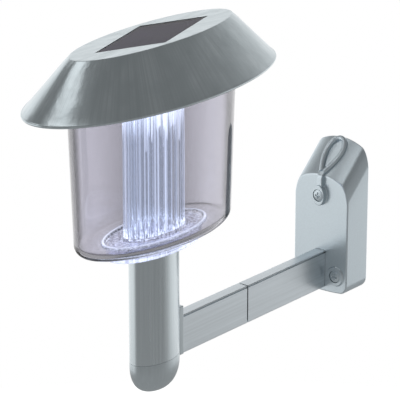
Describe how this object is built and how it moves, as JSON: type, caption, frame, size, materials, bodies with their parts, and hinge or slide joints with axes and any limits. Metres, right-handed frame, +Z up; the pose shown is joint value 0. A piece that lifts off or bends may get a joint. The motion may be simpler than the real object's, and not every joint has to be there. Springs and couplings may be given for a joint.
{
  "type": "solar fence light on a wall bracket",
  "caption": "Solar light with an oval brushed-steel roof, a clear lens with a fluted light tube, an oval post and a two-part arm on a wall bracket",
  "frame": {"origin": "middle of the bracket's back face, on the wall", "axes": "X across the bracket, -Y out from the wall along the arm to the light, Z up"},
  "size_m": [0.077, 0.2521, 0.196],
  "materials": {
    "brushed_steel_sheet": "brushed along the slope",
    "brushed_steel_tube": "brushed along the tube",
    "brushed_aluminium": "satin, brushed along the arm",
    "silver_painted_cover": "fine satin silver",
    "satin_grey_plastic": "satin",
    "dark_plastic": "matte moulded",
    "pale_grey_plastic": "moulded",
    "milky_plastic": "smooth moulded",
    "white_plastic": "smooth moulded",
    "bright_metallised_plastic": "mirror bright",
    "smoky_clear_plastic": "clear, slightly smoky",
    "clear_plastic": "clear",
    "panel_clear_cover": "clear",
    "solar_cell_laminate": "dark cells under clear film",
    "black_foam": "matte",
    "pale_seal_rubber": "matte",
    "screw_steel": "plated",
    "contact_nickel": "plated",
    "board_green": "solder mask",
    "led_epoxy": "clear, lit",
    "battery_sleeve": "printed sleeve, plain",
    "wire_sleeve": "smooth"
  },
  "bodies": {
    "wall_bracket": {"arm_rear": "brushed_aluminium", "bracket_cover": "silver_painted_cover", "wall_plate": "dark_plastic", "cover_screws": "screw_steel", "arm_bolts": "screw_steel", "arm_nuts": "screw_steel"},
    "lamp_arm": {"post_tube": "brushed_steel_tube", "post_socket": "milky_plastic", "post_end_cap": "satin_grey_plastic", "arm_flange": "satin_grey_plastic", "arm_screws": "screw_steel", "arm_front": "brushed_aluminium", "arm_spigot": "dark_plastic"},
    "lens": {"lens_shell": "smoky_clear_plastic", "light_tube": "clear_plastic"},
    "head": {"roof_shell": "brushed_steel_sheet", "panel_cover": "panel_clear_cover", "solar_panel": "solar_cell_laminate", "panel_gasket": "black_foam", "panel_tray": "dark_plastic", "head_base": "pale_grey_plastic", "head_seal": "pale_seal_rubber", "head_screws": "screw_steel", "circuit_board": "board_green", "led": "led_epoxy", "led_reflector": "bright_metallised_plastic", "battery_holder": "dark_plastic", "battery": "battery_sleeve", "battery_spring": "contact_nickel", "battery_contact": "contact_nickel", "battery_lead": "wire_sleeve", "panel_leads": "wire_sleeve", "switch_body": "dark_plastic"},
    "switch": {"switch_slider": "white_plastic"}
  },
  "joints": [
    {"name": "arm_pull", "type": "slide", "parent": "wall_bracket", "child": "lamp_arm", "axis": [0, -1, 0], "range_m": [0, 0.016]},
    {"name": "lens_lift", "type": "slide", "parent": "lamp_arm", "child": "lens", "axis": [0, 0, 1], "range_m": [0, 0.02]},
    {"name": "head_lift", "type": "slide", "parent": "lens", "child": "head", "axis": [0, 0, 1], "range_m": [0, 0.03]},
    {"name": "switch_slide", "type": "slide", "parent": "head", "child": "switch", "axis": [0, 1, 0], "range_m": [0, 0.004]}
  ]
}
